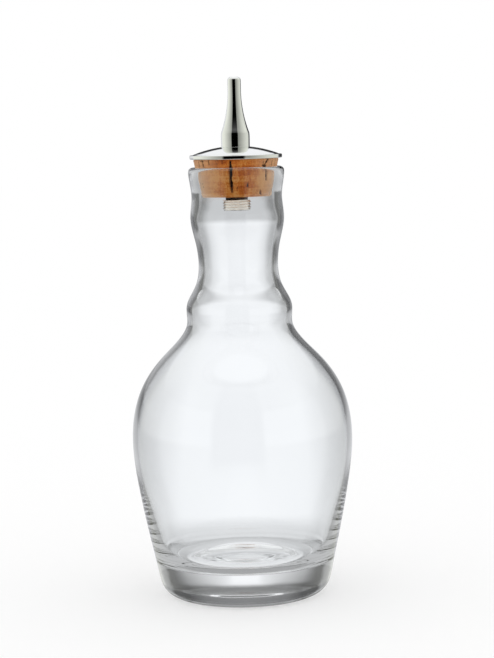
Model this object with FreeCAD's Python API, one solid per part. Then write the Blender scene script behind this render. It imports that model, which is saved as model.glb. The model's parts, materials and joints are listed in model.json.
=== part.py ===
import FreeCAD, Part
import math
import os

# A small clear glass dasher bottle: a heavy based blown bottle with a collar and a waisted
# neck, closed by a tapered cork that carries a polished dasher top.
# Millimetres, +Z up, origin at the middle of the standing face.
# Every piece is turned about Z, so each one is drawn as a half outline in the XZ plane.

# Glass outline, from the base corner up to the lip: rise of each station above the one below
corner_rise = 4.0
lower_side_rise = 12.0
upper_side_rise = 12.0
belly_rise = 13.5
shoulder_rise = 10.5
nape_rise = 7.5
collar_foot_rise = 5.5
collar_low_rise = 3.5
collar_high_rise = 4.3
flare_rise = 5.0
waist_rise = 5.7
swell_foot_rise = 5.5
swell_rise = 5.8
throat_rise = 5.4
lip_rise = 6.0

# Outer radius of the glass at each station below the throat
corner_radius = 21.45
lower_side_radius = 24.1
upper_side_radius = 26.36
belly_radius = 27.49
shoulder_radius = 25.17
nape_radius = 20.18
collar_foot_radius = 14.99
collar_low_radius = 13.17
collar_high_radius = 13.17
flare_radius = 10.88
waist_radius = 9.9
swell_foot_radius = 10.6
swell_radius = 11.66

# Wall of the glass at each station, square to the outline
lower_side_wall = 2.0
upper_side_wall = 1.25
belly_wall = 1.2
shoulder_wall = 1.25
nape_wall = 1.3
collar_foot_wall = 1.3
collar_low_wall = 1.4
collar_high_wall = 1.35
flare_wall = 1.68
waist_wall = 1.5
swell_foot_wall = 1.6
swell_wall = 1.75
throat_wall = 2.3
lip_wall = 1.6

# Lip: rounding of its outer and inner edges, and the tapered seat that takes the cork
lip_outer_round = 1.1
lip_inner_round = 0.45
mouth_seat_length = 5.5
throat_relief = 0.35

# Heavy base: the heel where the wall turns into the floor, the floor's lowest ring and its
# raised middle, then the standing ring and the shallow hollow under the bottle
floor_thickness = 8.5
heel_rise = 1.4
heel_radius = 18.7
trough_radius = 12.7
middle_radius = 9.3
middle_rise = 0.82
foot_ring_width = 1.5
underside_hollow = 1.2

# Cork, tapered like the mouth it is pressed into
cork_length = 9.3
cork_proud = 2.1
cork_top_radius = 10.65
cork_bottom_radius = 8.6
cork_edge_break = 0.35
cork_fit = 0.12

# Domed cap
dome_radius = 11.46
dome_rim_thickness = 0.87
dome_rise = 2.8

# Spout: straight foot, hollow flare, straight tip
spout_height = 17.2
spout_foot_radius = 3.53
spout_foot_height = 3.4
spout_shoulder_round = 1.5
spout_tip_radius = 1.65
spout_tip_length = 3.2
spout_tip_bore = 0.75
spout_tip_flat = 0.1
spout_bore_rise = 6.8
spout_seat_margin = 0.15

# Stem tube: threaded part at its crest radius, relief under the cork, spigot up into the spout
stem_radius = 3.5
stem_bore = 1.3
stem_below_cork = 3.1
stem_relief_radius = 2.75
stem_relief_length = 0.65
stem_end_chamfer = 0.3
spigot_radius = 2.2
spigot_length = 3.0
running_clearance = 0.1
socket_clearance = 0.05
socket_end_gap = 0.3

# The cork's taper sets the mouth, and the mouth sets the glass round it
cork_taper = (cork_top_radius - cork_bottom_radius) / cork_length
mouth_radius = cork_top_radius - cork_taper * cork_proud + cork_fit
lip_radius = mouth_radius + lip_wall
throat_radius = cork_bottom_radius + throat_relief + throat_wall

# Stations of the glass outline, bottom to top, and the walls of all but the first and the last
stations = [
    (corner_rise, corner_radius),
    (lower_side_rise, lower_side_radius),
    (upper_side_rise, upper_side_radius),
    (belly_rise, belly_radius),
    (shoulder_rise, shoulder_radius),
    (nape_rise, nape_radius),
    (collar_foot_rise, collar_foot_radius),
    (collar_low_rise, collar_low_radius),
    (collar_high_rise, collar_high_radius),
    (flare_rise, flare_radius),
    (waist_rise, waist_radius),
    (swell_foot_rise, swell_foot_radius),
    (swell_rise, swell_radius),
    (throat_rise, throat_radius),
    (lip_rise, lip_radius),
]
walls = [
    lower_side_wall,
    upper_side_wall,
    belly_wall,
    shoulder_wall,
    nape_wall,
    collar_foot_wall,
    collar_low_wall,
    collar_high_wall,
    flare_wall,
    waist_wall,
    swell_foot_wall,
    swell_wall,
    throat_wall,
]

# Heights above the table that the pieces share
lip_top = sum(rise for rise, radius in stations) + lip_outer_round
cork_top = lip_top + cork_proud
cork_bottom = cork_top - cork_length
dome_seat = cork_top + dome_rise
spout_top = dome_seat + spout_height
stem_bottom = cork_bottom - stem_below_cork

AXIS_FOOT = FreeCAD.Vector(0, 0, 0)
UP = FreeCAD.Vector(0, 0, 1)
INWARD = FreeCAD.Vector(-1, 0, 0)


def at(radius, height):
    """A point of a half outline."""
    return FreeCAD.Vector(radius, 0, height)


def line(start, end):
    return Part.LineSegment(start, end).toShape()


def arc(start, middle, end):
    return Part.Arc(start, middle, end).toShape()


def arc_about(centre, start, end):
    """The shorter arc from start to end of the circle round centre."""
    middle = (start + end) * 0.5 - centre
    middle.normalize()
    return arc(start, centre + middle * (start - centre).Length, end)


def polyline(points):
    return [line(start, end) for start, end in zip(points, points[1:])]


def turned(edges):
    """The solid made by turning a closed half outline once round the axis."""
    outline = Part.Wire(Part.__sortEdges__(edges))
    return Part.Face(outline).revolve(AXIS_FOOT, UP, 360)


def mouth_seat_radius(height):
    """Radius of the tapered seat in the mouth, one fit outside the cork's own cone."""
    return mouth_radius - cork_taper * (lip_top - height)


def outer_points():
    """The stations of the glass outline, bottom to top."""
    height = 0
    points = []
    for rise, radius in stations:
        height += rise
        points.append(at(radius, height))
    return points


def outer_curve(points):
    """Smooth curve through the stations, upright where it meets the lip."""
    curve = Part.BSplineCurve()
    lowest_run = points[1] - points[0]
    lowest_run.normalize()
    curve.interpolate(Points=points, InitialTangent=lowest_run, FinalTangent=UP, Scale=False)
    return curve


def inner_points(points, curve):
    """Each walled station moved one wall inwards, square to the outline, top to bottom."""
    inner = []
    for point, wall in zip(points[1:], walls):
        along = curve.tangent(curve.parameter(point))[0]
        inner.append(point + FreeCAD.Vector(-along.z, 0, along.x) * wall)
    inner.reverse()
    return inner


def raised_middle(trough, edge):
    """Two equal arcs, level at both ends, that climb from the floor's lowest ring to its middle."""
    climb = edge - trough
    round_radius = climb.Length ** 2 / (4 * climb.z)
    halfway = (trough + edge) * 0.5
    return [
        arc_about(trough + UP * round_radius, trough, halfway),
        arc_about(edge - UP * round_radius, halfway, edge),
    ]


def base_corner(start, direction):
    """Arc from the table up to the start of the side, tangent to both, and its foot radius."""
    lean = math.atan2(direction.z, direction.x)
    tangent_length = start.z / math.sin(lean)
    round_radius = tangent_length / math.tan(lean / 2)
    foot = at(start.x - start.z / math.tan(lean) - tangent_length, 0)
    centre = at(foot.x, round_radius)
    return arc_about(centre, foot, start), foot.x


def glass_bottle():
    points = outer_points()
    outside = outer_curve(points)
    lean = outside.tangent(outside.FirstParameter)[0]
    corner, foot_radius = base_corner(points[0], lean)

    lip_crest = at(lip_radius - lip_outer_round, lip_top)
    lip_centre = at(lip_radius - lip_outer_round, points[-1].z)
    lip_outside = arc_about(lip_centre, points[-1], lip_crest)

    seat_top = lip_top - lip_inner_round
    seat_bottom = lip_top - mouth_seat_length
    mouth_top = at(mouth_seat_radius(seat_top), seat_top)
    mouth_bottom = at(mouth_seat_radius(seat_bottom), seat_bottom)
    mouth_edge = at(mouth_top.x + lip_inner_round, lip_top)
    lip_inside = arc_about(at(mouth_edge.x, seat_top), mouth_edge, mouth_top)
    seat = line(mouth_top, mouth_bottom)
    seat_run = mouth_bottom - mouth_top
    seat_run.normalize()

    heel = at(heel_radius, floor_thickness + heel_rise)
    trough = at(trough_radius, floor_thickness)
    middle_edge = at(middle_radius, floor_thickness + middle_rise)
    floor_middle = at(0, middle_edge.z)
    inside = Part.BSplineCurve()
    inside.interpolate(
        Points=[mouth_bottom] + inner_points(points, outside) + [heel, trough],
        InitialTangent=seat_run,
        FinalTangent=INWARD,
        Scale=False,
    )

    ring_radius = foot_radius - foot_ring_width
    hollow_edge = at(ring_radius, 0)
    hollow_middle = at(0, underside_hollow)
    hollow_sphere = (ring_radius ** 2 + underside_hollow ** 2) / (2 * underside_hollow)
    hollow = arc_about(at(0, underside_hollow - hollow_sphere), hollow_edge, hollow_middle)

    return turned([
        hollow,
        line(hollow_edge, at(foot_radius, 0)),
        corner,
        outside.toShape(),
        lip_outside,
        line(lip_crest, mouth_edge),
        lip_inside,
        seat,
        inside.toShape(),
        *raised_middle(trough, middle_edge),
        line(middle_edge, floor_middle),
        line(floor_middle, hollow_middle),
    ])


def cork_stopper():
    hole = stem_radius + running_clearance
    top_break = cork_top_radius - cork_taper * cork_edge_break
    bottom_break = cork_bottom_radius + cork_taper * cork_edge_break
    points = [
        at(hole, cork_bottom),
        at(cork_bottom_radius - cork_edge_break, cork_bottom),
        at(bottom_break, cork_bottom + cork_edge_break),
        at(top_break, cork_top - cork_edge_break),
        at(cork_top_radius - cork_edge_break, cork_top),
        at(hole, cork_top),
    ]
    return turned(polyline(points + points[:1]))


def dome_cap():
    hole = spigot_radius + running_clearance
    rim_half = dome_rim_thickness / 2
    rim_inset = dome_radius - rim_half
    rim_low = at(rim_inset, cork_top)
    rim_tip = at(dome_radius, cork_top + rim_half)
    rim_high = at(rim_inset, cork_top + dome_rim_thickness)
    seat_edge = at(spout_foot_radius + spout_seat_margin, dome_seat)
    # The crown is part of a sphere centred on the axis
    rim_square = rim_high.x ** 2 + rim_high.z ** 2
    seat_square = seat_edge.x ** 2 + seat_edge.z ** 2
    crown_centre = at(0, (seat_square - rim_square) / (2 * (seat_edge.z - rim_high.z)))
    hole_high = at(hole, dome_seat)
    hole_low = at(hole, cork_top)
    return turned([
        line(hole_low, rim_low),
        arc(rim_low, rim_tip, rim_high),
        arc_about(crown_centre, rim_high, seat_edge),
        line(seat_edge, hole_high),
        line(hole_high, hole_low),
    ])


def spout():
    shoulder = at(spout_foot_radius, dome_seat + spout_foot_height)
    flare_top = at(spout_tip_radius, spout_top - spout_tip_length)
    # The flare is a hollow arc that runs out upright into the straight tip
    across = shoulder.x - flare_top.x
    drop = flare_top.z - shoulder.z
    flare_round = (across ** 2 + drop ** 2) / (2 * across)
    flare_centre = flare_top + FreeCAD.Vector(flare_round, 0, 0)
    # The shoulder is rounded off by a circle that touches the straight foot and the flare
    round_inset = spout_foot_radius - spout_shoulder_round
    centres_apart = flare_round + spout_shoulder_round
    round_height = flare_centre.z - math.sqrt(centres_apart ** 2 - (flare_centre.x - round_inset) ** 2)
    round_centre = at(round_inset, round_height)
    round_low = at(spout_foot_radius, round_height)
    round_high = flare_centre + (round_centre - flare_centre) * (flare_round / centres_apart)

    # The tip is rounded over, down to a narrow flat ring round the outlet
    tip_inset = spout_tip_bore + spout_tip_flat
    tip_round = spout_tip_radius - tip_inset
    tip_side = at(spout_tip_radius, spout_top - tip_round)
    tip_top = at(tip_inset, spout_top)
    socket = spigot_radius + socket_clearance
    socket_top = dome_seat + spigot_length + socket_end_gap
    bore_points = [
        at(spout_tip_bore, spout_top),
        at(spout_tip_bore, spout_top - spout_tip_length),
        at(stem_bore, dome_seat + spout_bore_rise),
        at(stem_bore, socket_top),
        at(socket, socket_top),
        at(socket, dome_seat),
    ]
    foot = at(spout_foot_radius, dome_seat)
    return turned([
        line(foot, round_low),
        arc_about(round_centre, round_low, round_high),
        arc_about(flare_centre, round_high, flare_top),
        line(flare_top, tip_side),
        arc_about(at(tip_inset, tip_side.z), tip_side, tip_top),
        line(tip_top, bore_points[0]),
        *polyline(bore_points),
        line(bore_points[-1], foot),
    ])


def stem_tube():
    relief_bottom = cork_bottom - stem_relief_length
    points = [
        at(stem_bore, stem_bottom),
        at(stem_radius - stem_end_chamfer, stem_bottom),
        at(stem_radius, stem_bottom + stem_end_chamfer),
        at(stem_radius, relief_bottom),
        at(stem_relief_radius, relief_bottom),
        at(stem_relief_radius, cork_bottom),
        at(stem_radius, cork_bottom),
        at(stem_radius, cork_top),
        at(spigot_radius, cork_top),
        at(spigot_radius, dome_seat + spigot_length - stem_end_chamfer),
        at(spigot_radius - stem_end_chamfer, dome_seat + spigot_length),
        at(stem_bore, dome_seat + spigot_length),
    ]
    return turned(polyline(points + points[:1]))


pieces = {
    "glass_bottle": glass_bottle(),
    "cork_stopper": cork_stopper(),
    "dome_cap": dome_cap(),
    "spout": spout(),
    "stem_tube": stem_tube(),
}
os.makedirs("parts", exist_ok=True)
for name, shape in pieces.items():
    shape.exportStep(os.path.join("parts", name + ".step"))
    print(name, "valid" if shape.isValid() else "broken", round(shape.Volume, 1), "cubic mm")
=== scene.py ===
# %% [markdown]
# # A clear glass dasher bottle
#
# This lesson dresses a small table bottle: a heavy based glass bottle, a tapered cork, and a
# polished metal top that lets out one dash at a time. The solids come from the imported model, which
# fixes every size. Here each piece gets the shape and the finish that the eye sees.
#
# All lengths are metres, the bottle stands on z = 0, and +Z runs up its axis. The front, which the
# camera looks at, is the -Y side.

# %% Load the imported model
import json
import math
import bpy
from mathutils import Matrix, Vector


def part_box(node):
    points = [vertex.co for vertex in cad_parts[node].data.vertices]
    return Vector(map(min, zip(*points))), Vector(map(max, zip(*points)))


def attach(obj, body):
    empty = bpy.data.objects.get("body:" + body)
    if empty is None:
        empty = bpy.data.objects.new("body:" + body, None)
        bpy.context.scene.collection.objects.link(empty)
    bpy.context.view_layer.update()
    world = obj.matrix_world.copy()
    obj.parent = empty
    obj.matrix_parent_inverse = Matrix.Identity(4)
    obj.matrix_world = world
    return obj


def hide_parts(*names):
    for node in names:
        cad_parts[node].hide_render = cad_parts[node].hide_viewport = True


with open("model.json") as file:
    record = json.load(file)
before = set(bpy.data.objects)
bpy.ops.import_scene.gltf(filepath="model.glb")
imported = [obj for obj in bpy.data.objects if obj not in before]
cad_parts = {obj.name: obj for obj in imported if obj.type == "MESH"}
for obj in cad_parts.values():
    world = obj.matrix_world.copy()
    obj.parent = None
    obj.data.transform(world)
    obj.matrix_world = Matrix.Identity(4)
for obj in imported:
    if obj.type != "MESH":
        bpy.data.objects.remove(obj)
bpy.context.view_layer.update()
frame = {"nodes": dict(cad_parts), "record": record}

from types import SimpleNamespace

import bpy
from mathutils import Matrix, Vector
from mathutils.geometry import interpolate_bezier

MM = 0.001
scene = bpy.context.scene
scene.view_settings.view_transform = "Standard"
print("pieces in the frame:", ", ".join(sorted(frame["nodes"])))

# %% [markdown]
# ## Light inside thick glass
#
# Light that enters a heavy glass base is thrown from wall to wall many times before it finds a way
# out. A renderer gives up after a few such turns and paints what is left black, which makes glass
# look like smoke. Raising the limits lets nearly every ray get out.

# %% Bounces
LIGHT_BOUNCES = 32
scene.cycles.max_bounces = LIGHT_BOUNCES
scene.cycles.glossy_bounces = LIGHT_BOUNCES
scene.cycles.transmission_bounces = LIGHT_BOUNCES
print("light may turn", LIGHT_BOUNCES, "times")

# %% [markdown]
# ## The camera
#
# The bottle was photographed from half a metre away, a little above its shoulder, with a lens long
# enough to keep its sides upright. The camera was tipped down by six degrees and leaned over by
# just over one. Aiming a camera at a point and then rolling it about its own axis repeats that.

# %% Camera
CAMERA_PLACE = Vector((1.77, -500.0, 120.0)) * MM
CAMERA_AIM = Vector((1.77, 0.0, 66.8)) * MM
CAMERA_ROLL = math.radians(-1.36)
CAMERA_LENS = 110.03
CAMERA_FILM = 36.0

camera_data = bpy.data.cameras.new("camera")
camera_data.lens = CAMERA_LENS
camera_data.sensor_width = CAMERA_FILM
camera = bpy.data.objects.new("camera", camera_data)
scene.collection.objects.link(camera)
sight = CAMERA_AIM - CAMERA_PLACE
aimed = sight.to_track_quat("-Z", "Y").to_matrix().to_4x4()
rolled = Matrix.Rotation(CAMERA_ROLL, 4, "Z")
camera.matrix_world = Matrix.Translation(CAMERA_PLACE) @ aimed @ rolled
scene.camera = camera
print("camera looks down by", round(math.degrees(-math.asin(sight.normalized().z)), 1), "degrees")

# %% [markdown]
# ## Node trees written as sums
#
# Both geometry and materials are made of nodes. Wiring nodes one by one is slow to read, so a small
# class wraps a node's output: adding or multiplying two of them puts in the Math node. Every other
# node comes from one function, which sets the node's options first and then its sockets.

# %% Sums of wires
class Wire:
    """A node's output that Python's own operators can do maths on."""

    def __init__(self, tree, socket):
        self.tree = tree
        self.socket = socket

    def also(self, name):
        """Another output of the same node."""
        return Wire(self.tree, self.socket.node.outputs[name])

    def do(self, operation, *others):
        """A Math node that takes this value first."""
        values = dict(enumerate((self, *others)))
        return add_node(self.tree, "ShaderNodeMath", {"operation": operation}, values)

    def __add__(self, other):
        return self.do("ADD", other)

    def __radd__(self, other):
        return self.do("ADD", other)

    def __sub__(self, other):
        return self.do("SUBTRACT", other)

    def __rsub__(self, other):
        return self.do("MULTIPLY_ADD", -1.0, other)

    def __mul__(self, other):
        return self.do("MULTIPLY", other)

    def __rmul__(self, other):
        return self.do("MULTIPLY", other)

    def __truediv__(self, other):
        return self.do("DIVIDE", other)

    def __rtruediv__(self, other):
        return self.do("POWER", -1.0) * other


def plug(tree, socket, value):
    """Link a wire to an input socket, or set the socket to a plain value."""
    if isinstance(value, Wire):
        tree.links.new(value.socket, socket)
    else:
        socket.default_value = value


def ramp_stops(ramp, stops):
    """Give a colour ramp its stops, as (place, colour) pairs."""
    while len(ramp.elements) < len(stops):
        ramp.elements.new(1.0)
    for element, (place, colour) in zip(ramp.elements, stops):
        element.position = place
        element.color = (*colour, 1.0)


def add_node(tree, kind, settings=None, sockets=None, output=0):
    """A new node: its options are set first, then its sockets. Returns one of its outputs."""
    node = tree.nodes.new(kind)
    for name, value in (settings or {}).items():
        if name == "stops":
            ramp_stops(node.color_ramp, value)
        else:
            setattr(node, name, value)
    for name, value in (sockets or {}).items():
        plug(tree, node.inputs[name], value)
    return Wire(tree, node.outputs[output]) if node.outputs else None


print("wires can be added, taken away, multiplied and divided")

# %% Words for common nodes
CLOUD_MEAN = 0.5


def vector_do(operation, first, second, output=0):
    """A Vector Math node on a wire and a second vector."""
    settings = {"operation": operation}
    return add_node(first.tree, "ShaderNodeVectorMath", settings, {0: first, 1: second}, output)


def soft_step(value, low, high):
    """0 below the low end, 1 above the high one, and a soft step from one to the other."""
    settings = {"interpolation_type": "SMOOTHSTEP"}
    sockets = {"Value": value, "From Min": low, "From Max": high}
    return add_node(value.tree, "ShaderNodeMapRange", settings, sockets)


def mixed(share, first, second):
    """A colour between two others: the share belongs to the second one."""
    sockets = {0: share, 6: first, 7: second}
    return add_node(share.tree, "ShaderNodeMix", {"data_type": "RGBA"}, sockets, output=2)


def cloudy(place, grains, detail=2.0):
    """Soft random values from 0 to 1, with this many grains to the metre along x, y and z.

    Their mean is CLOUD_MEAN.
    """
    spread = vector_do("MULTIPLY", place, grains)
    sockets = {"Vector": spread, "Scale": 1.0, "Detail": detail}
    return add_node(place.tree, "ShaderNodeTexNoise", sockets=sockets)


print("helpers ready")

# %% [markdown]
# ## Reading a turned piece's outline
#
# Every piece of this bottle was turned on an axis, so half of its section tells the whole shape.
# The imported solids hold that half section: their seam lies in the plane y = 0. The seam's points
# are exact but few, so a smooth curve is drawn through them. Where the outline turns sharply it is
# a real edge, and real edges are never razor sharp, so each one gets a small rounding.

# %% The seam of a solid
# Points this near a plane or the axis lie on it, and this many decimals tell two points apart
AXIS_NEAR = 1e-6
SAME_POINT = 7


def seam_points(node_name):
    """Each point of a solid's seam as (radius, height), with the points that share an edge with it."""
    mesh = frame["nodes"][node_name].data
    keys = {}
    for vertex in mesh.vertices:
        place = vertex.co
        if abs(place.y) < AXIS_NEAR and place.x > -AXIS_NEAR:
            keys[vertex.index] = (round(max(place.x, 0.0), SAME_POINT), round(place.z, SAME_POINT))
    beside = {key: set() for key in keys.values()}
    for edge in mesh.edges:
        first, second = (keys.get(index) for index in edge.vertices)
        if first and second and first != second:
            beside[first].add(second)
            beside[second].add(first)
    return beside


def half_outline(node_name):
    """The seam in order: out along the bottom, up the outside and back down the inside."""
    beside = seam_points(node_name)
    left = set(beside)
    on_axis = [point for point in left if point[0] < AXIS_NEAR]
    here = min(on_axis or left, key=lambda point: (point[1], point[0]))
    walk = []
    while True:
        walk.append(here)
        left.discard(here)
        if not left:
            break
        reach = (beside[here] & left) or left
        here = min(reach, key=lambda point: math.dist(point, walk[-1]))
    if on_axis:
        walk.append((0.0, walk[-1][1]))
    else:
        walk.append(walk[0])
    area = sum(a[0] * b[1] - b[0] * a[1] for a, b in zip(walk, walk[1:]))
    ordered = walk if area > 0 else walk[::-1]
    return [Vector(point) for point in ordered]


print("glass seam has", len(half_outline("glass_bottle")), "points")

# %% Rounded edges and smooth runs
# A sharper turn than EDGE_TURN is an edge, and its rounding takes at most EDGE_SHARE of a run
EDGE_TURN = math.radians(22.0)
EDGE_SHARE = 0.4
EDGE_STEPS = 5
EDGE_ROUNDING = 0.1 * MM
STEP_TURN = math.radians(3.0)


def edge_points(before, edge, after):
    """A sharp edge of an outline as a small rounding, with a guard point on either side of it."""
    come = edge - before
    go = after - edge
    turn = come.angle(go)
    if turn < EDGE_TURN:
        return [edge]
    cut = min(EDGE_ROUNDING * math.tan(turn / 2), EDGE_SHARE * come.length, EDGE_SHARE * go.length)
    start = edge - come.normalized() * cut
    end = edge + go.normalized() * cut
    shares = [step / EDGE_STEPS for step in range(EDGE_STEPS + 1)]
    bend = [start.lerp(edge, share).lerp(edge.lerp(end, share), share) for share in shares]
    guard = cut / EDGE_STEPS
    return [start - come.normalized() * guard, *bend, end + go.normalized() * guard]


def rounded_outline(points):
    """The outline with every sharp edge rounded. A closed outline ends where it starts."""
    closed = math.dist(points[0], points[-1]) < AXIS_NEAR
    ring = points[:-1] if closed else points
    result = []
    for index, point in enumerate(ring):
        if not closed and index in (0, len(ring) - 1):
            result.append(point)
        else:
            result += edge_points(ring[index - 1], point, ring[(index + 1) % len(ring)])
    return result + result[:1] if closed else result


def directions(points):
    """The way the outline runs at each point: along the circle through it and its neighbours."""
    closed = math.dist(points[0], points[-1]) < AXIS_NEAR
    ways = []
    for index, point in enumerate(points):
        if 0 < index < len(points) - 1:
            before, after = points[index - 1], points[index + 1]
        elif closed:
            before, after = points[-2], points[1]
        else:
            ways.append(Vector((1.0 if index == 0 else -1.0, 0.0)))
            continue
        come = point - before
        go = after - point
        ways.append((come / come.length_squared + go / go.length_squared).normalized())
    return ways


def smooth_outline(node_name, step_length):
    """A dense outline of a solid: smooth curves through the seam's points, and rounded edges."""
    points = rounded_outline(half_outline(node_name))
    ways = directions(points)
    dense = []
    for start, end, way_out, way_in in zip(points, points[1:], ways, ways[1:]):
        run = (end - start).length
        steps = max(1, math.ceil(way_out.angle(way_in) / STEP_TURN), math.ceil(run / step_length))
        handles = (start + way_out * run / 3, end - way_in * run / 3)
        dense += interpolate_bezier(start, *handles, end, steps + 1)[:-1]
    return dense + [points[-1]]


print("edges are rounded to", EDGE_ROUNDING / MM, "mm")

# %% [markdown]
# ## Turning an outline into a piece
#
# A lathe is a rule, so Geometry Nodes make the turned pieces. A flat grid has one row of points for
# each point of the outline and one column for each step round the axis. Every grid point looks up
# its row's radius and height, and moves to that radius at its column's angle. Merging the doubles
# closes the seam and the poles.

# %% Geometry trees
def new_tree(name, inputs):
    """An empty geometry tree with one mesh input, the given inputs and one mesh output."""
    tree = bpy.data.node_groups.new(name, "GeometryNodeTree")
    tree.interface.new_socket("Mesh", in_out="INPUT", socket_type="NodeSocketGeometry")
    for socket_name, kind in inputs.items():
        tree.interface.new_socket(socket_name, in_out="INPUT", socket_type="NodeSocket" + kind)
    tree.interface.new_socket("Mesh", in_out="OUTPUT", socket_type="NodeSocketGeometry")
    return tree, add_node(tree, "NodeGroupInput", output="Mesh")


def finish_tree(mesh, finish):
    """End a tree with real geometry that carries its material."""
    tree = mesh.tree
    smooth = add_node(tree, "GeometryNodeSetShadeSmooth", sockets={"Geometry": mesh})
    real = add_node(tree, "GeometryNodeRealizeInstances", sockets={"Geometry": smooth})
    painted = add_node(tree, "GeometryNodeSetMaterial", sockets={"Geometry": real, "Material": finish})
    add_node(tree, "NodeGroupOutput", sockets={"Mesh": painted})


def keep_attribute(mesh, name, value):
    """The mesh with a number kept at each of its points, for a finish to read."""
    settings = {"data_type": "FLOAT", "domain": "POINT"}
    sockets = {"Geometry": mesh, "Name": name, "Value": value}
    return add_node(mesh.tree, "GeometryNodeStoreNamedAttribute", settings, sockets)


def look_up(mesh, value, index, kind):
    """The value that a mesh has at one of its points, found by the point's number."""
    sockets = {"Geometry": mesh, "Value": value, "Index": index}
    return add_node(mesh.tree, "GeometryNodeSampleIndex", {"data_type": kind}, sockets)


def apply_tree(mesh, tree, **values):
    """Run a geometry tree on a mesh and return the result as a plain mesh."""
    worker = bpy.data.objects.new(mesh.name, mesh)
    scene.collection.objects.link(worker)
    modifier = worker.modifiers.new(tree.name, "NODES")
    modifier.node_group = tree
    inputs = [item for item in tree.interface.items_tree if item.in_out == "INPUT"]
    sockets = {item.name: item.identifier for item in inputs}
    for name, value in values.items():
        modifier[sockets[name]] = value
    evaluated = worker.evaluated_get(bpy.context.evaluated_depsgraph_get())
    result = bpy.data.meshes.new_from_object(evaluated)
    bpy.data.objects.remove(worker)
    return result


print("trees end in real geometry")

# %% The lathe
MERGE_WITHIN = 1e-7


def lathe_tree():
    """A tree that turns a chain of points, each a radius and a height, into a closed skin."""
    tree, outline = new_tree("lathe", {"Segments": "Int", "Finish": "Material"})
    segments = outline.also("Segments")
    rows = add_node(tree, "GeometryNodeAttributeDomainSize", sockets={"Geometry": outline})
    counts = {"Vertices X": segments + 1, "Vertices Y": rows}
    grid = add_node(tree, "GeometryNodeMeshGrid", sockets=counts)
    index = add_node(tree, "GeometryNodeInputIndex")
    column = (index / rows).do("FLOOR")
    position = add_node(tree, "GeometryNodeInputPosition")
    place = look_up(outline, position, index - column * rows, "FLOAT_VECTOR")
    point = add_node(tree, "ShaderNodeSeparateXYZ", sockets={"Vector": place})
    angle = column * (2 * math.pi) / segments
    round_axis = {"X": point * angle.do("COSINE"), "Y": point * angle.do("SINE"), "Z": point.also("Z")}
    turned = add_node(tree, "ShaderNodeCombineXYZ", sockets=round_axis)
    moved = add_node(tree, "GeometryNodeSetPosition", sockets={"Geometry": grid, "Position": turned})
    doubles = {"Geometry": moved, "Distance": MERGE_WITHIN}
    closed = add_node(tree, "GeometryNodeMergeByDistance", sockets=doubles)
    finish_tree(closed, outline.also("Finish"))
    return tree


lathe = lathe_tree()


def turn_piece(node_name, step_length, segments, finish, reshape=list):
    """A solid's outline, drawn again in short steps and turned on the lathe."""
    outline = reshape(smooth_outline(node_name, step_length))
    chain = bpy.data.meshes.new(node_name + "_outline")
    chain.from_pydata([(point.x, 0.0, point.y) for point in outline], [], [])
    return apply_tree(chain, lathe, Segments=segments, Finish=finish)


print("lathe tree has", len(lathe.nodes), "nodes")

# %% [markdown]
# ## Showing a piece in its solid's stead
#
# The imported solids stay in the scene to carry the motion, but they are plain. A finished mesh takes
# the place of each one: it moves with the same body.

# %% Place a piece
body_of = {}
for body, members in frame["record"]["behaviour"]["bodies"].items():
    for member in members:
        body_of[member] = body


def show_piece(piece_name, node_name, mesh):
    """A finished mesh as an object that stands for a solid."""
    piece = bpy.data.objects.new(piece_name, mesh)
    scene.collection.objects.link(piece)
    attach(piece, body_of[node_name])
    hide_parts(node_name)
    print(piece_name, "moves with", body_of[node_name], "and has", len(mesh.polygons), "faces")


def new_finish(name):
    """A material with a bare Principled shader, and the wire of the piece's own coordinates."""
    material = bpy.data.materials.new(name)
    material.use_nodes = True
    tree = material.node_tree
    place = add_node(tree, "ShaderNodeTexCoord", output="Object")
    return material, tree.nodes["Principled BSDF"], place


def bumped(height, reach):
    """A normal that tilts with a height from 0 to 1, worth this many metres."""
    return add_node(height.tree, "ShaderNodeBump", sockets={"Height": height, "Distance": reach})


# %% [markdown]
# ## Clear glass
#
# Bottle glass bends light by an index of about 1.5 and has hardly any colour of its own: thick edges
# look faintly cool. It was blown into a mould, so its skin is never quite even. A bump of a few
# thousandths of a millimetre, in patches narrower than a fingertip, makes the highlights wander. The
# heavy base is the least even part, so the bump is ten times as deep there.

# %% Glass finish
GLASS_TINT = (0.99, 0.998, 1.0, 1.0)
GLASS_BEND = 1.5
GLASS_WAVES = (150.0, 150.0, 60.0)
GLASS_WAVE_HEIGHT = 0.006 * MM
BASE_WAVE = 10.0
BASE_WAVE_ENDS = (8.0 * MM, 14.0 * MM)


def clear_glass():
    """Clear glass whose skin waves a little, and more at the base."""
    material, shader, place = new_finish("clear_glass")
    shader.inputs["Base Color"].default_value = GLASS_TINT
    shader.inputs["Roughness"].default_value = 0.0
    shader.inputs["IOR"].default_value = GLASS_BEND
    shader.inputs["Transmission Weight"].default_value = 1.0
    height = add_node(place.tree, "ShaderNodeSeparateXYZ", sockets={"Vector": place}, output="Z")
    deep = BASE_WAVE - soft_step(height, *BASE_WAVE_ENDS) * (BASE_WAVE - 1)
    wavy = bumped(cloudy(place, GLASS_WAVES) * deep, GLASS_WAVE_HEIGHT)
    plug(place.tree, shader.inputs["Normal"], wavy)
    return material


glass = clear_glass()
print("glass bends light by", GLASS_BEND)

# %% [markdown]
# ## The bottle
#
# One closed skin holds the outside, the lip, the cavity and the hollow under the base. It needs many
# segments, because a lens shows every facet behind it.

# %% Glass bottle
GLASS_STEP = 1.0 * MM
GLASS_SEGMENTS = 192

bottle_mesh = turn_piece("glass_bottle", GLASS_STEP, GLASS_SEGMENTS, glass)
show_piece("bottle_glass", "glass_bottle", bottle_mesh)

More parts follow.
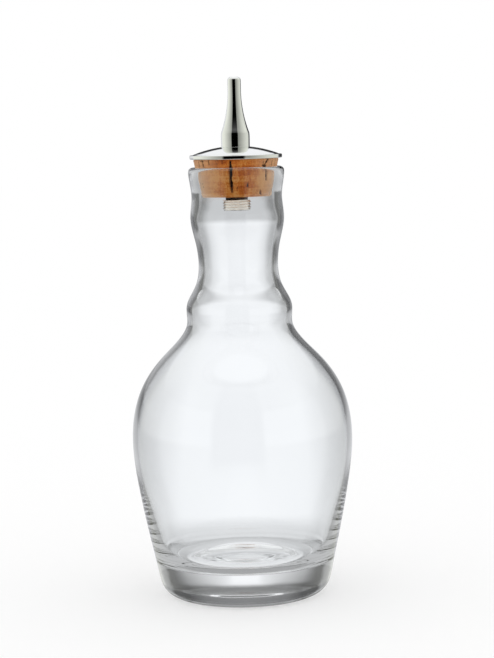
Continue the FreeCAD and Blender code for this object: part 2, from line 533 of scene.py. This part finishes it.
# %% [markdown]
# ## Polished metal
#
# The cap and the spout are turned, polished and plated. Plating is a mirror with next to no colour.
# Polishing leaves hair lines that run round the axis and patches where a cloth has rubbed more, so
# the roughness changes a little from place to place.

# %% Metal finish
# METAL_ROUGH is the least roughness, and how much more the rubbed patches can add to it
METAL_COLOUR = (0.9, 0.91, 0.9, 1.0)
METAL_RUBBED = (300.0, 300.0, 300.0)
METAL_LINES = (20.0, 20.0, 9000.0)
METAL_ROUGH = (0.03, 0.05)
METAL_LINE_HEIGHT = 0.0004 * MM


def polished_metal():
    """A plated mirror with rubbed patches and hair lines round the axis."""
    material, shader, place = new_finish("polished_metal")
    shader.inputs["Base Color"].default_value = METAL_COLOUR
    shader.inputs["Metallic"].default_value = 1.0
    least, more = METAL_ROUGH
    plug(place.tree, shader.inputs["Roughness"], cloudy(place, METAL_RUBBED) * more + least)
    plug(place.tree, shader.inputs["Normal"], bumped(cloudy(place, METAL_LINES), METAL_LINE_HEIGHT))
    return material


metal = polished_metal()
print("metal roughness from", METAL_ROUGH[0], "to", sum(METAL_ROUGH))

# %% [markdown]
# ## The domed cap and the spout
#
# Both come straight off the lathe. The cap seats on the cork, and the spout stands on the cap. A press
# has trimmed the cap's edge, so the round edge of the solid is drawn squarer here: raising the sine and
# the cosine of the round to a power below one pushes it out towards its corners.

# %% Cap and spout
METAL_STEP = 0.3 * MM
METAL_SEGMENTS = 192
RIM_POWER = 0.4


def squared_rim(outline):
    """An outline with its round outer edge pushed out to an upright band."""
    tip = max(outline, key=lambda point: point.x)
    half = tip.y - min(point.y for point in outline)
    inset = tip.x - half
    squared = []
    for point in outline:
        out = max((point.x - inset) / half, 0.0) ** RIM_POWER
        up = (point.y - tip.y) / half
        pushed = Vector((inset + half * out, tip.y + half * math.copysign(abs(up) ** RIM_POWER, up)))
        squared.append(pushed if point.x > inset else point)
    return squared


cap_mesh = turn_piece("dome_cap", METAL_STEP, METAL_SEGMENTS, metal, squared_rim)
show_piece("cap_dome", "dome_cap", cap_mesh)
spout_mesh = turn_piece("spout", METAL_STEP, METAL_SEGMENTS, metal)
show_piece("dasher_spout", "spout", spout_mesh)

# %% [markdown]
# ## The stem's thread
#
# The stem screws down through the cork. A thread is a ridge wound round a rod, so its radius depends
# on one number: how far a point lies along the winding, counted in turns. The tree works that out
# from the point's height and bearing and cuts every point back to the ridge's own radius. Points that
# already lie deeper, as in the relief under the cork, stay as they are. Whether a point lies that deep
# is kept as an attribute, because the relief is painted dark brown and dull: painted shade, and a
# painted reflection of the cork's shaded underside.

# %% Thread tree
# The ridge rises between these shares of the way from the middle of a groove to that of the crest
THREAD_FLANK = (0.1, 0.85)


def thread_tree():
    """A tree that cuts a thread into a turned rod."""
    sizes = {"Pitch": "Float", "Root": "Float", "Depth": "Float", "Finish": "Material"}
    tree, rod = new_tree("thread", sizes)
    position = add_node(tree, "GeometryNodeInputPosition")
    point = add_node(tree, "ShaderNodeSeparateXYZ", sockets={"Vector": position})
    bearing = point.also("Y").do("ARCTAN2", point) / (2 * math.pi)
    turns = (point.also("Z") / rod.also("Pitch") - bearing).do("FRACT")
    ridge = soft_step((2 * turns - 1).do("ABSOLUTE"), *THREAD_FLANK)
    root, depth = rod.also("Root"), rod.also("Depth")
    cut = root + depth * ridge
    flat = add_node(tree, "ShaderNodeCombineXYZ", sockets={"X": point, "Y": point.also("Y")})
    reach = vector_do("LENGTH", flat, (0.0, 0.0, 0.0), output="Value")
    shrink = reach.do("MINIMUM", cut) / reach
    round_axis = {"X": point * shrink, "Y": point.also("Y") * shrink, "Z": point.also("Z")}
    cut_back = add_node(tree, "ShaderNodeCombineXYZ", sockets=round_axis)
    relief = 1 - soft_step(reach, root - depth, root)
    kept = keep_attribute(rod, "relief", relief)
    moved = add_node(tree, "GeometryNodeSetPosition", sockets={"Geometry": kept, "Position": cut_back})
    finish_tree(moved, rod.also("Finish"))
    return tree


thread = thread_tree()
print("thread tree has", len(thread.nodes), "nodes")

# %% Stem finish
STEM_COLOUR = (0.9, 0.87, 0.8, 1.0)
# Dark brown painted in the relief: painted shade and a painted reflection of the cork's underside
STEM_PAINTED_SHADE = (0.05, 0.026, 0.012, 1.0)
STEM_ROUGH = (0.1, 0.15)
STEM_PAINTED_SHADE_ROUGH = 0.5
STEM_PATCHES = (900.0, 900.0, 900.0)


def threaded_metal():
    """Turned metal, with painted shade in the relief: the cork's shaded underside as a painted
    reflection.
    """
    material, shader, place = new_finish("threaded_metal")
    tree = place.tree
    # Painted shade: the relief is made dark brown, dull and not metal
    painted_shade = add_node(tree, "ShaderNodeAttribute", {"attribute_name": "relief"}, output="Fac")
    plug(tree, shader.inputs["Base Color"], mixed(painted_shade, STEM_COLOUR, STEM_PAINTED_SHADE))
    plug(tree, shader.inputs["Metallic"], 1 - painted_shade)
    least, more = STEM_ROUGH
    rough = cloudy(place, STEM_PATCHES) * more + painted_shade * STEM_PAINTED_SHADE_ROUGH + least
    plug(tree, shader.inputs["Roughness"], rough)
    return material


print("stem roughness from", STEM_ROUGH[0], "to", sum(STEM_ROUGH))

# %% Threaded stem
STEM_STEP = 0.06 * MM
STEM_SEGMENTS = 96
THREAD_PITCH = 0.635 * MM
THREAD_DEPTH = 0.26 * MM

stem_metal = threaded_metal()
stem_rod = turn_piece("stem_tube", STEM_STEP, STEM_SEGMENTS, stem_metal)
stem_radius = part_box("stem_tube")[1].x
stem_mesh = apply_tree(
    stem_rod,
    thread,
    Pitch=THREAD_PITCH,
    Root=stem_radius - THREAD_DEPTH,
    Depth=THREAD_DEPTH,
    Finish=stem_metal,
)
show_piece("dasher_stem", "stem_tube", stem_mesh)

# %% [markdown]
# ## Marks in the cork
#
# Cork is bark. Air channels run through it, and where the knife crossed them the stopper has dark
# slits. A few large ones are this cork's own: they are drawn as strokes on its side, each
# from one bearing and depth to another. Bearings count from the front, positive to the right.

# %% Drawn strokes
# Bearing in degrees and depth below the cork's top in mm at both ends, then the width in mm
CORK_STROKES = {
    "long channel": (-7.6, 0.4, -6.8, 8.3, 0.95),
    "check stroke": (49.0, 0.3, 42.0, 1.9, 0.5),
    "check foot": (39.0, 1.75, 46.0, 2.1, 0.7),
    "check tail": (44.0, 2.6, 46.0, 5.4, 0.7),
    "left notch": (-55.0, 0.25, -50.0, 0.6, 0.7),
    "left tail": (-52.0, 0.5, -50.5, 2.4, 0.4),
    "left line": (-61.0, 0.6, -60.0, 2.0, 0.2),
    "low nick": (37.0, 8.0, 39.0, 9.1, 0.5),
    "low nick right": (60.0, 7.7, 62.0, 8.7, 0.5),
    "right line": (58.0, 0.3, 59.0, 2.3, 0.22),
    "right edge line": (67.0, 0.4, 67.5, 2.1, 0.24),
    "back channel": (150.0, 1.0, 153.0, 6.0, 0.5),
    "back slit": (-118.0, 3.0, -116.5, 7.5, 0.4),
    "back nick": (-160.0, 0.3, -157.0, 2.6, 0.36),
}
STROKE_STEPS = 48
# A stroke's width swells and shrinks as a half wave, never below the tip's share, to this power
STROKE_TIP = 0.15
STROKE_TAPER = 0.35


def stroke_points(cork_box):
    """Points along every stroke, and each point's half width, which tapers to the stroke's ends."""
    radius, top = cork_box[1].x, cork_box[1].z
    points = []
    half_widths = []
    for bearing, depth, last_bearing, last_depth, width in CORK_STROKES.values():
        for step in range(STROKE_STEPS + 1):
            share = step / STROKE_STEPS
            angle = math.radians(bearing + (last_bearing - bearing) * share)
            height = top - (depth + (last_depth - depth) * share) * MM
            points.append((radius * math.sin(angle), -radius * math.cos(angle), height))
            taper = max(STROKE_TIP, math.sin(math.pi * share)) ** STROKE_TAPER
            half_widths.append(width / 2 * taper * MM)
    return points, half_widths


def stroke_object(cork_box):
    """The strokes as a mesh of points that a geometry tree can read."""
    points, half_widths = stroke_points(cork_box)
    mesh = bpy.data.meshes.new("cork_strokes")
    mesh.from_pydata(points, [], [])
    mesh.attributes.new("half_width", "FLOAT", "POINT").data.foreach_set("value", half_widths)
    strokes = bpy.data.objects.new("cork_strokes", mesh)
    scene.collection.objects.link(strokes)
    return strokes


print(len(CORK_STROKES), "strokes drawn by hand")

# %% [markdown]
# ## The cork's skin
#
# Smaller slits are scattered by the tree: points fall on the skin by chance, with a fixed seed, and
# each becomes a short upright line of a random length and width. The drawn strokes join them,
# and all are laid onto the skin. Every point of the skin then looks for the nearest mark and sinks
# if it lies within its width. How far it sank is kept as an attribute, so that the finish can
# darken the pits.

# %% Scattered slits
SLIT_POINTS = 9
SLIT_LENGTH = (0.4 * MM, 1.7 * MM)
SLIT_HALF_WIDTH = (0.06 * MM, 0.17 * MM)


def chance(tree, span, seed):
    """A random value between the two ends of a span."""
    sockets = {2: span[0], 3: span[1], "Seed": seed}
    return add_node(tree, "FunctionNodeRandomValue", {"data_type": "FLOAT"}, sockets, output=1)


def scattered_slits(skin):
    """Upright lines of points, scattered over the skin, that carry a half width."""
    tree = skin.tree
    seed = skin.also("Seed")
    strewn = {"Mesh": skin, "Density": skin.also("Density"), "Seed": seed}
    spots = add_node(tree, "GeometryNodeDistributePointsOnFaces", sockets=strewn)
    sized = keep_attribute(spots, "half_width", chance(tree, SLIT_HALF_WIDTH, seed + 1))
    # An upright line one metre long, with its middle on the spot, that the length then shrinks
    upright = {
        "Count": SLIT_POINTS,
        "Start Location": (0.0, 0.0, -0.5),
        "Offset": (0.0, 0.0, 1 / (SLIT_POINTS - 1)),
    }
    slit = add_node(tree, "GeometryNodeMeshLine", sockets=upright)
    length = chance(tree, SLIT_LENGTH, seed + 2)
    stretch = add_node(tree, "ShaderNodeCombineXYZ", sockets={"X": 1.0, "Y": 1.0, "Z": length})
    on_spots = {"Points": sized, "Instance": slit, "Scale": stretch}
    copies = add_node(tree, "GeometryNodeInstanceOnPoints", sockets=on_spots)
    return add_node(tree, "GeometryNodeRealizeInstances", sockets={"Geometry": copies})


print("slits are", SLIT_LENGTH[0] / MM, "to", SLIT_LENGTH[1] / MM, "mm long")

# %% Cork tree
# A pit's edge and depth count in half widths of its mark
PIT_EDGE = (0.5, 1.15)
PIT_DEPTH = 1.9
PIT_RAGGED = (2600.0, 2600.0, 900.0)
SKIN_GRAIN = (1100.0, 1100.0, 1100.0)
SKIN_GRAIN_HEIGHT = 0.035 * MM


def cork_tree():
    """A tree that sinks the drawn strokes, the scattered slits and a fine grain into a skin."""
    sizes = {"Strokes": "Object", "Density": "Float", "Seed": "Int", "Finish": "Material"}
    tree, skin = new_tree("cork_skin", sizes)
    position = add_node(tree, "GeometryNodeInputPosition")
    strokes_in = {"Object": skin.also("Strokes")}
    drawn = add_node(tree, "GeometryNodeObjectInfo", sockets=strokes_in, output="Geometry")
    marks = add_node(tree, "GeometryNodeJoinGeometry", sockets={"Geometry": scattered_slits(skin)})
    plug(tree, marks.socket.node.inputs["Geometry"], drawn)
    on_skin = add_node(tree, "GeometryNodeProximity", {"target_element": "FACES"}, {0: skin})
    laid = add_node(tree, "GeometryNodeSetPosition", sockets={"Geometry": marks, "Position": on_skin})

    nearest = add_node(tree, "GeometryNodeSampleNearest", {"domain": "POINT"}, {"Geometry": laid})
    kind, named = {"data_type": "FLOAT"}, {"Name": "half_width"}
    width = add_node(tree, "GeometryNodeInputNamedAttribute", kind, named, "Attribute")
    half_width = look_up(laid, width, nearest, "FLOAT")
    mark = look_up(laid, position, nearest, "FLOAT_VECTOR")
    away = vector_do("DISTANCE", position, mark, output="Value") / half_width
    ragged = away + cloudy(position, PIT_RAGGED) - CLOUD_MEAN
    pit = 1 - soft_step(ragged, *PIT_EDGE)
    sunk = pit * half_width * PIT_DEPTH + cloudy(position, SKIN_GRAIN) * SKIN_GRAIN_HEIGHT
    kept = keep_attribute(skin, "pit", pit)
    normal = add_node(tree, "GeometryNodeInputNormal")
    scaled = {0: normal, "Scale": sunk * -1.0}
    inwards = add_node(tree, "ShaderNodeVectorMath", {"operation": "SCALE"}, scaled)
    moved = add_node(tree, "GeometryNodeSetPosition", sockets={"Geometry": kept, "Offset": inwards})
    finish_tree(moved, skin.also("Finish"))
    return tree


cork_skin = cork_tree()
print("cork tree has", len(cork_skin.nodes), "nodes")

# %% [markdown]
# ## Cork colour
#
# Cork is warm orange brown in some places and tan in others. Wide cloudy patches, thin level growth
# bands and fine upright streaks are mixed into one tone, and a ramp turns the tone into colour. The
# sides to the left and the right are painted a paler tan: a painted sheen where the skin turns away
# from the front. The end in the neck is painted paler than the top: painted light, which leaves the
# top darker as painted shade under the cap. Pits are nearly black inside. A dry, dusty surface
# catches light at its edges, which the shader calls sheen.

# %% Cork finish
CORK_RAMP = [
    (0.4, (0.24, 0.05, 0.006)),
    (0.46, (0.42, 0.1, 0.012)),
    (0.5, (0.5, 0.13, 0.017)),
    (0.55, (0.6, 0.2, 0.035)),
    (0.61, (0.7, 0.32, 0.09)),
]
CORK_PIT = (0.012, 0.006, 0.004, 1.0)
# A pale tan that is painted light: a painted sheen on the sides and painted light in the neck
CORK_PAINTED_PALE = (0.8, 0.5, 0.27, 1.0)
# The cork is painted paler between these distances to the left and right of its axis: a painted sheen
CORK_PAINTED_SHEEN_SIDES = (2.5 * MM, 9.5 * MM)
CORK_PAINTED_SHEEN_SHARE = 0.6
# It is also painted paler between these heights, down into the neck: painted light, with painted shade
# left at the top
CORK_MOUTH = (104.5 * MM, 107.0 * MM)
CORK_NECK_PAINTED_LIGHT = 0.07
CORK_NECK_PAINTED_PALE = 0.35
CORK_SHARES = {"patches": 0.3, "bands": 0.3, "streaks": 0.2, "grain": 0.2}
CORK_GRAINS = {
    "patches": (240.0, 240.0, 260.0),
    "bands": (110.0, 110.0, 1300.0),
    "streaks": (1900.0, 1900.0, 130.0),
    "grain": (3000.0, 3000.0, 2200.0),
}
CORK_DETAIL = 3.0
CORK_ROUGH = (0.5, 0.35)
CORK_BUMP = 0.08 * MM
CORK_SHINE = 0.1
CORK_SHEEN = 0.1


def natural_cork():
    """Cork with patches, bands, streaks, grain and dark pits, and painted sheen and painted light."""
    material, shader, place = new_finish("natural_cork")
    tree = place.tree
    clouds = {name: cloudy(place, grains, CORK_DETAIL) for name, grains in CORK_GRAINS.items()}
    tone = sum(clouds[name] * share for name, share in CORK_SHARES.items())
    point = add_node(tree, "ShaderNodeSeparateXYZ", sockets={"Vector": place})
    # Painted light: the tone is lifted down in the neck, so the top under the cap stays darker as
    # painted shade
    neck_painted_light = 1 - soft_step(point.also("Z"), *CORK_MOUTH)
    lifted = tone + neck_painted_light * CORK_NECK_PAINTED_LIGHT
    sound = add_node(tree, "ShaderNodeValToRGB", {"stops": CORK_RAMP}, {"Fac": lifted})
    # Painted sheen: the left and right sides, and more of the neck, are mixed towards the pale tan
    painted_pale_share = soft_step(point.do("ABSOLUTE"), *CORK_PAINTED_SHEEN_SIDES) * (neck_painted_light * CORK_NECK_PAINTED_PALE + CORK_PAINTED_SHEEN_SHARE)
    pit = add_node(tree, "ShaderNodeAttribute", {"attribute_name": "pit"}, output="Fac")
    plug(tree, shader.inputs["Base Color"], mixed(pit, mixed(painted_pale_share, sound, CORK_PAINTED_PALE), CORK_PIT))
    least, more = CORK_ROUGH
    plug(tree, shader.inputs["Roughness"], clouds["grain"] * more + least)
    plug(tree, shader.inputs["Normal"], bumped(clouds["grain"], CORK_BUMP))
    shader.inputs["Specular IOR Level"].default_value = CORK_SHINE
    shader.inputs["Sheen Weight"].default_value = CORK_SHEEN
    return material


cork = natural_cork()
print("cork tone mixes", ", ".join(CORK_SHARES))

# %% Cork stopper
CORK_STEP = 0.18 * MM
CORK_SEGMENTS = 320
SLITS_PER_AREA = 1.1e5
SLIT_SEED = 4

strokes = stroke_object(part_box("cork_stopper"))
plain_cork = turn_piece("cork_stopper", CORK_STEP, CORK_SEGMENTS, cork)
cork_mesh = apply_tree(
    plain_cork, cork_skin, Strokes=strokes, Density=SLITS_PER_AREA, Seed=SLIT_SEED, Finish=cork
)
bpy.data.objects.remove(strokes)
show_piece("stopper_cork", "cork_stopper", cork_mesh)

# %% [markdown]
# ## Floor and room
#
# The bottle stands on a plain white sweep. A white room lights it evenly from all round. The sweep is
# a pale grey that also glows a little for the camera, so that it reads as white and still takes the
# bottle's soft shadow.

# %% Floor and room
FLOOR_DROP = 0.03 * MM
FLOOR_HALF = 3.0
FLOOR_COLOUR = (0.6, 0.6, 0.6, 1.0)
FLOOR_GLOW = 0.4
WHITE = (1.0, 1.0, 1.0, 1.0)
BLACK = (0.0, 0.0, 0.0, 1.0)


def grey(tone):
    """A colour without hue."""
    return (tone, tone, tone, 1.0)


def white_sweep():
    """Pale grey that takes the shadow, with a glow that only the camera sees."""
    material, shader, place = new_finish("white_sweep")
    tree = place.tree
    shader.inputs["Base Color"].default_value = FLOOR_COLOUR
    shader.inputs["Roughness"].default_value = 1.0
    shader.inputs["Specular IOR Level"].default_value = 0.0
    shader.inputs["Emission Strength"].default_value = 1.0
    seen = add_node(tree, "ShaderNodeLightPath", output="Is Camera Ray")
    plug(tree, shader.inputs["Emission Color"], mixed(seen, BLACK, grey(FLOOR_GLOW)))
    return material


def stage_object(name, points, faces, material):
    """A thing of the studio, which isn't part of the bottle."""
    mesh = bpy.data.meshes.new(name)
    mesh.from_pydata(points, [], faces)
    mesh.materials.append(material)
    thing = bpy.data.objects.new(name, mesh)
    scene.collection.objects.link(thing)
    return thing


signs = [(-1, -1), (1, -1), (1, 1), (-1, 1)]
floor_corners = [(x * FLOOR_HALF, y * FLOOR_HALF, -FLOOR_DROP) for x, y in signs]
stage_object("floor", floor_corners, [(0, 1, 2, 3)], white_sweep())
room = bpy.data.worlds.new("room")
scene.world = room
room.use_nodes = True
room.node_tree.nodes["Background"].inputs["Color"].default_value = WHITE
print("floor is", 2 * FLOOR_HALF, "m wide")

# %% [markdown]
# ## Cards round the bottle
#
# Clear glass and polished metal have no looks of their own: they show the room. A photographer sets
# white and dark cards round such a bottle. White straight behind it keeps the glass bright, grey and
# dark at the sides draw its edges, and the dark end of the room, in front, is the stripe down the
# metal. Here the cards are one tent of light that only mirrors and lenses see, and the light that
# falls on cork or floor ignores it. Mirrors and lenses each have their own set of cards, because a
# card that suits the metal can be hidden from the glass and the other way round.
#
# A real card shows one tone to all. A renderer counts the surfaces that a ray has crossed, so this tent
# can do more than a studio. A ray that crossed none came off a mirror. One that crossed a single wall,
# or the block of the base, meets darker cards and a shaded floor. One that crossed both walls meets no
# dark front, and a bright floor at the sides. Light that was thrown about inside the glass has lost its
# direction, so it gets one mean tone.
#
# Each list gives tones from straight behind the bottle, at 0, round to the front, at 1.

# %% Tones of the wall
LENS_FRONT = [(0.285, 0.35), (0.34, 0.5), (0.42, 0.95), (1.0, 1.0)]
LENS_CARDS = {
    "low": [
        (0.0, 1.0), (0.03, 0.96), (0.055, 0.78), (0.07, 0.64), (0.09, 0.55), (0.155, 0.46),
        (0.215, 0.16), (0.255, 0.12), *LENS_FRONT,
    ],
    "middle": [(0.0, 0.62), (0.05, 0.55), (0.1, 0.28), (0.16, 0.14), (0.25, 0.1), *LENS_FRONT],
    "high": [(0.0, 0.24), (0.1, 0.2), (0.16, 0.08), (0.25, 0.08), *LENS_FRONT],
}
MIRROR_CARDS = {
    "low": [
        (0.0, 1.0), (0.03, 0.95), (0.055, 0.68), (0.09, 0.4), (0.155, 0.26), (0.25, 0.12),
        (0.285, 0.75), (0.5, 0.8), (0.62, 0.62), (0.8, 0.4),
    ],
    "left": [
        (0.0, 0.04), (0.04, 0.04), (0.07, 0.7), (0.3, 0.9), (0.45, 0.85), (0.62, 0.6),
        (0.78, 0.35),
    ],
    "right": [
        (0.0, 0.04), (0.2, 0.05), (0.25, 0.1), (0.285, 0.75), (0.45, 0.72), (0.62, 0.55),
        (0.82, 0.3),
    ],
}
TOP_TONES = [(0.0, 1.0), (0.285, 0.9), (0.45, 0.8), (0.62, 0.6), (0.8, 0.33)]
FRONT_TONE = 0.0
THROWN_TONE = 0.5
# Red, green and blue of a card whose tone is 1
BACK_TINT = (0.965, 0.975, 1.0, 1.0)
SIDE_TINT = (0.985, 1.0, 0.91, 1.0)
print(len(LENS_CARDS) + len(MIRROR_CARDS), "rings of cards")

# %% What a ray has done, and where it meets the tent
# Counts are whole numbers, so each limit lies half way between two of them
THROUGH_GLASS = 0.5
BOTH_WALLS = 2.5
THROWN_ABOUT = 2.5
SCATTERED = 0.5


def ray_story(tree):
    """What a ray did before it met the tent, each as 0 or 1."""
    crossed = add_node(tree, "ShaderNodeLightPath", output="Transmission Depth")
    through = crossed.do("GREATER_THAN", THROUGH_GLASS)
    both_walls = crossed.do("GREATER_THAN", BOTH_WALLS)
    mirrored_often = crossed.also("Glossy Depth").do("GREATER_THAN", THROWN_ABOUT)
    return SimpleNamespace(
        through=through,
        both_walls=both_walls,
        one_wall=through - both_walls,
        thrown=through * mirrored_often,
        scattered=crossed.also("Diffuse Depth").do("GREATER_THAN", SCATTERED),
    )


def tent_spot(place):
    """A point of the tent: right, back and up, far from the axis, and the turn from back to front."""
    right = add_node(place.tree, "ShaderNodeSeparateXYZ", sockets={"Vector": place})
    back = right.also("Y")
    far = (right * right + back * back).do("SQRT")
    turn = (back / far).do("ARCCOSINE") / math.pi
    return SimpleNamespace(right=right, back=back, up=right.also("Z"), far=far, turn=turn)


def tone_ramp(stops, along):
    """Tones along a ring of cards or across a fan of strips."""
    colours = [(stop, grey(tone)[:3]) for stop, tone in stops]
    return add_node(along.tree, "ShaderNodeValToRGB", {"stops": colours}, {"Fac": along})


print("a ray through both walls crosses more than", BOTH_WALLS, "surfaces")

# %% Cards on the wall
# Heights in metres between which one ring of cards gives way to the next
BLOCK_CARD = (0.0, 0.07)
MIDDLE_CARD = (0.078, 0.105)
HIGH_CARD = (0.14, 0.19)
MIRROR_CARD = (0.08, 0.1)
TOP_CARD = (0.26, 0.29)


def wall_cards(spot, ray):
    """Tones of the tent's wall: rings for lenses, rings for mirrors and one ring above both."""
    lens = {name: tone_ramp(stops, spot.turn) for name, stops in LENS_CARDS.items()}
    lower = mixed(soft_step(spot.up, *MIDDLE_CARD), lens["low"], lens["middle"])
    above_block = soft_step(spot.up, *BLOCK_CARD) * ray.one_wall
    to_high = soft_step(spot.up, *HIGH_CARD).do("MAXIMUM", above_block)
    seen = mixed(to_high, lower, lens["high"])
    mirror = {name: tone_ramp(stops, spot.turn) for name, stops in MIRROR_CARDS.items()}
    sides = mixed(spot.right.do("GREATER_THAN", 0.0), mirror["left"], mirror["right"])
    mirrored = mixed(soft_step(spot.up, *MIRROR_CARD), mirror["low"], sides)
    rings = mixed(ray.through, mirrored, seen)
    return mixed(soft_step(spot.up, *TOP_CARD), rings, tone_ramp(TOP_TONES, spot.turn))


print("wall cards change at", MIDDLE_CARD, HIGH_CARD, "and", TOP_CARD, "m")

# %% Cards on the floor
# The far floor is a still fan of strips. It opens from about where the camera of the main view stands,
# this far in front of the bottle, and it stays there in every other view
FAN_RANGE = 0.5
FLOOR_TONES = [
    (0.0, 1.0), (0.038, 0.99), (0.052, 0.88), (0.065, 0.81), (0.085, 0.75), (0.13, 0.68),
    (0.2, 0.52), (0.35, 0.42),
]
# Light that crossed both walls sees a bright floor past this share of the turn to the front
SIDE_FLOOR = (0.32, 0.42)
SIDE_FLOOR_TONE = 0.95
# Distances from the axis, in metres, for the floor under the glass, round it and shaded by it
UNDER_GLASS = (0.0165, 0.0175)
UNDER_TONE = 0.85
BESIDE_GLASS = (0.0235, 0.0255)
NEAR_TONE = 0.74
NEAR_FLOOR = (0.028, 0.07)
SHADED_FLOOR = (0.1, 0.2)
SHADED_TONE = 0.35
# The strip round the standing ring is dark in front of the axis and paler behind it
EDGE_TURN_OVER = (-0.012, 0.012)
EDGE_TONES = (0.15, 0.6)


def floor_cards(spot, ray):
    """Tones of the tent's floor, from under the glass outwards."""
    edge = mixed(soft_step(spot.back, *EDGE_TURN_OVER), *(grey(tone) for tone in EDGE_TONES))
    under = mixed(soft_step(spot.far, *UNDER_GLASS), grey(UNDER_TONE), edge)
    near = mixed(soft_step(spot.far, *BESIDE_GLASS), under, grey(NEAR_TONE))
    aside = spot.right.do("ABSOLUTE") / (spot.back + FAN_RANGE)
    to_side = soft_step(spot.turn, *SIDE_FLOOR) * ray.both_walls
    fan = mixed(to_side, tone_ramp(FLOOR_TONES, aside), grey(SIDE_FLOOR_TONE))
    ground = mixed(soft_step(spot.far, *NEAR_FLOOR), near, fan)
    shaded = ray.one_wall * (1 - soft_step(spot.far, *SHADED_FLOOR))
    return mixed(shaded, ground, grey(SHADED_TONE))


print("floor fan has", len(FLOOR_TONES), "tones")

# %% Tent finish
# Heights in metres between which the floor gives way to the wall, and the wall to white sky
LOW_CARD = (0.0, 0.03)
SKY = (0.3, 1.2)
# The side tint takes over at this share of the turn to the front
SIDE_CARD = (0.25, 0.3)
# The way to the middle of the dark front, the cosines of the angles at which it fades in, and the
# distances from the axis, in metres, at which it does
FRONT_AIM = (-math.sin(math.radians(5.0)), -math.cos(math.radians(5.0)))
FRONT_CARD = (math.cos(math.radians(31.0)), math.cos(math.radians(23.0)))
FRONT_FLOOR = (0.08, 0.2)


def tent_finish():
    """A glow that shows mirrors and lenses the cards, and shows scattered light plain white."""
    material, bare_shader, place = new_finish("tent_cards")
    tree = place.tree
    tree.nodes.remove(bare_shader)
    spot = tent_spot(place)
    ray = ray_story(tree)
    cards = mixed(soft_step(spot.up, *LOW_CARD), floor_cards(spot, ray), wall_cards(spot, ray))
    ahead = (spot.right * FRONT_AIM[0] + spot.back * FRONT_AIM[1]) / spot.far
    front = soft_step(ahead, *FRONT_CARD) * soft_step(spot.far, *FRONT_FLOOR) * (1 - ray.both_walls)
    lit = mixed(ray.thrown, mixed(front, cards, grey(FRONT_TONE)), grey(THROWN_TONE))
    tint = mixed(soft_step(spot.turn, *SIDE_CARD) * (1 - ray.through), BACK_TINT, SIDE_TINT)
    room_side = vector_do("MULTIPLY", lit, tint)
    under_sky = mixed(soft_step(spot.up, *SKY), room_side, WHITE)
    shown = mixed(ray.scattered, under_sky, WHITE)
    glow = add_node(tree, "ShaderNodeEmission", sockets={"Color": shown})
    plug(tree, tree.nodes["Material Output"].inputs["Surface"], glow)
    return material


tent_cards = tent_finish()
print("tent finish has", len(tent_cards.node_tree.nodes), "nodes")

# %% Tent
TENT_RADIUS = 0.45
TENT_TOP = 1.2
TENT_DROP = 0.015 * MM
TENT_SEGMENTS = 96

tent_points = [(0.0, 0.0, -TENT_DROP)]
tent_faces = []
for segment in range(TENT_SEGMENTS):
    angle = 2 * math.pi * segment / TENT_SEGMENTS
    for height in (-TENT_DROP, TENT_TOP):
        tent_points.append((TENT_RADIUS * math.sin(angle), TENT_RADIUS * math.cos(angle), height))
    here = 1 + 2 * segment
    after = 1 + 2 * ((segment + 1) % TENT_SEGMENTS)
    tent_faces += [(0, after, here), (here, after, after + 1, here + 1)]
tent = stage_object("tent", tent_points, tent_faces, tent_cards)
tent.visible_camera = False
tent.visible_diffuse = False
tent.visible_shadow = False
print("tent is", 2 * TENT_RADIUS, "m across")
